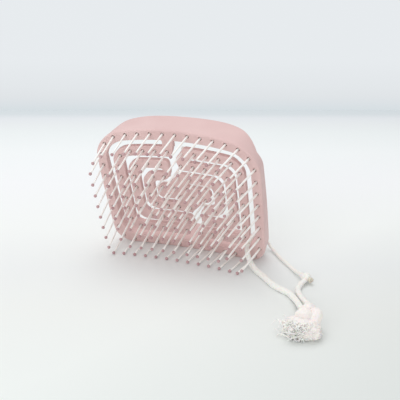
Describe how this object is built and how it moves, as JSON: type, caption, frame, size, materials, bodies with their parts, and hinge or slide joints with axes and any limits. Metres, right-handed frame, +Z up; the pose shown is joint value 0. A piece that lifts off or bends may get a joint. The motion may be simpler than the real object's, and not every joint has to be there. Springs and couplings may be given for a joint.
{
  "type": "palm hair brush",
  "caption": "Palm hair brush: thin leaning shell, concave face wound as one sprung strip, nylon pins with ball tips, cotton lanyard with a tassel. For detangling hair.",
  "frame": {"origin": "on the floor, under the middle of the brush's box measured without the lanyard", "axes": "+X across the width, to the right as seen from the pins; -Y the way the pins point; +Z up, with the brush standing on its bottom front edge and its lowest ball tips"},
  "size_m": [0.125, 0.0956, 0.0701],
  "materials": {
    "shell_plastic": "fine matte, dusty pink",
    "labyrinth_plastic": "fine matte, dusty pink, elastic",
    "pin_nylon": "satin off-white pins with dusty pink ball tips",
    "lanyard_cotton": "soft undyed cotton cord"
  },
  "bodies": {
    "frame": {"cord_back": "lanyard_cotton", "cord_front": "lanyard_cotton", "cord_knot": "lanyard_cotton", "cord_tail": "lanyard_cotton", "rim_pins_bottom": "pin_nylon", "rim_pins_left": "pin_nylon", "rim_pins_right": "pin_nylon", "rim_pins_top": "pin_nylon", "shell": "shell_plastic", "tassel_fringe": "lanyard_cotton", "tassel_knot": "lanyard_cotton"},
    "outer_loop": {"outer_loop_left": "labyrinth_plastic", "outer_loop_right": "labyrinth_plastic", "outer_pins_bottom_left": "pin_nylon", "outer_pins_bottom_right": "pin_nylon", "outer_pins_left": "pin_nylon", "outer_pins_right": "pin_nylon", "outer_pins_top_left": "pin_nylon", "outer_pins_top_right": "pin_nylon"},
    "middle_loop": {"middle_loop_left": "labyrinth_plastic", "middle_loop_right": "labyrinth_plastic", "middle_pins_bottom_left": "pin_nylon", "middle_pins_bottom_right": "pin_nylon", "middle_pins_left": "pin_nylon", "middle_pins_right": "pin_nylon", "middle_pins_top_left": "pin_nylon", "middle_pins_top_right": "pin_nylon"},
    "core": {"core_loop": "labyrinth_plastic", "core_pins": "pin_nylon", "inner_pins_bottom_left": "pin_nylon", "inner_pins_bottom_right": "pin_nylon", "inner_pins_left": "pin_nylon", "inner_pins_right": "pin_nylon", "inner_pins_top_left": "pin_nylon", "inner_pins_top_right": "pin_nylon"}
  },
  "joints": [
    {"name": "outer_loop_give", "type": "slide", "parent": "frame", "child": "outer_loop", "axis": [0, 0.9558, 0.294], "range_m": [0, 0.0018], "stiffness_N_per_m": 1200},
    {"name": "middle_loop_give", "type": "slide", "parent": "outer_loop", "child": "middle_loop", "axis": [0, 0.9558, 0.294], "range_m": [0, 0.0018], "stiffness_N_per_m": 1200},
    {"name": "core_give", "type": "slide", "parent": "middle_loop", "child": "core", "axis": [0, 0.9558, 0.294], "range_m": [0, 0.0018], "stiffness_N_per_m": 1200}
  ]
}
